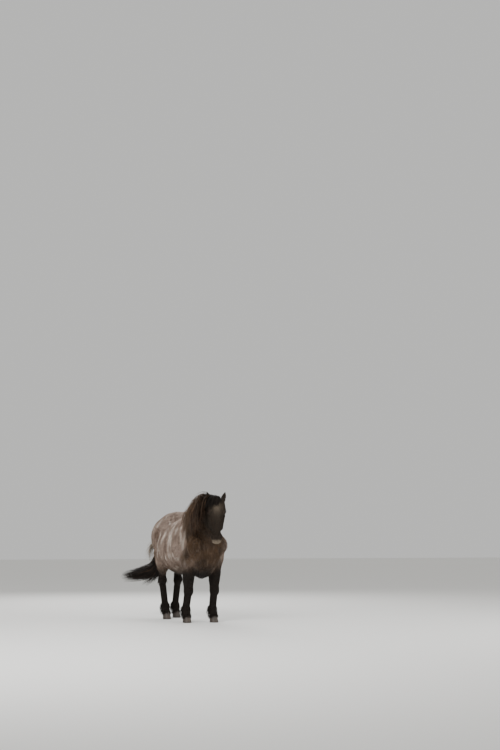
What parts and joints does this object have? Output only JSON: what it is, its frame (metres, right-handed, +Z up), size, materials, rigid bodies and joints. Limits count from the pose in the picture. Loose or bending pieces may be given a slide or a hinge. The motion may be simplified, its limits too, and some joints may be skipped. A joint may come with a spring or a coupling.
{
  "type": "icelandic horse",
  "caption": "Life-size standing model of a small, stocky horse in winter coat, head turned to its right, with a long mane and a wind-blown tail.",
  "frame": {"origin": "on the ground, under the middle of the bounding box", "axes": "+Z up, the horse faces -Y, its left side is at +X"},
  "size_m": [0.8492, 2.0934, 1.6165],
  "materials": {
    "body_coat": "pale roan winter coat",
    "leg_coat": "black-brown coat",
    "face_coat": "charcoal coat",
    "hair": "dark brown long hair",
    "horn": "worn grey-brown horn",
    "eye": "wet dark eye"
  },
  "bodies": {
    "root": {"torso": "body_coat", "neck": "body_coat", "head": "face_coat", "ear_left": "face_coat", "ear_right": "face_coat", "eye_left": "eye", "eye_right": "eye", "tail": "hair", "left_fore_upper": "leg_coat", "left_fore_lower": "leg_coat", "left_fore_hoof": "horn", "left_hind_upper": "leg_coat", "left_hind_lower": "leg_coat", "left_hind_hoof": "horn", "right_fore_upper": "leg_coat", "right_fore_lower": "leg_coat", "right_fore_hoof": "horn", "right_hind_upper": "leg_coat", "right_hind_lower": "leg_coat", "right_hind_hoof": "horn"}
  },
  "joints": []
}
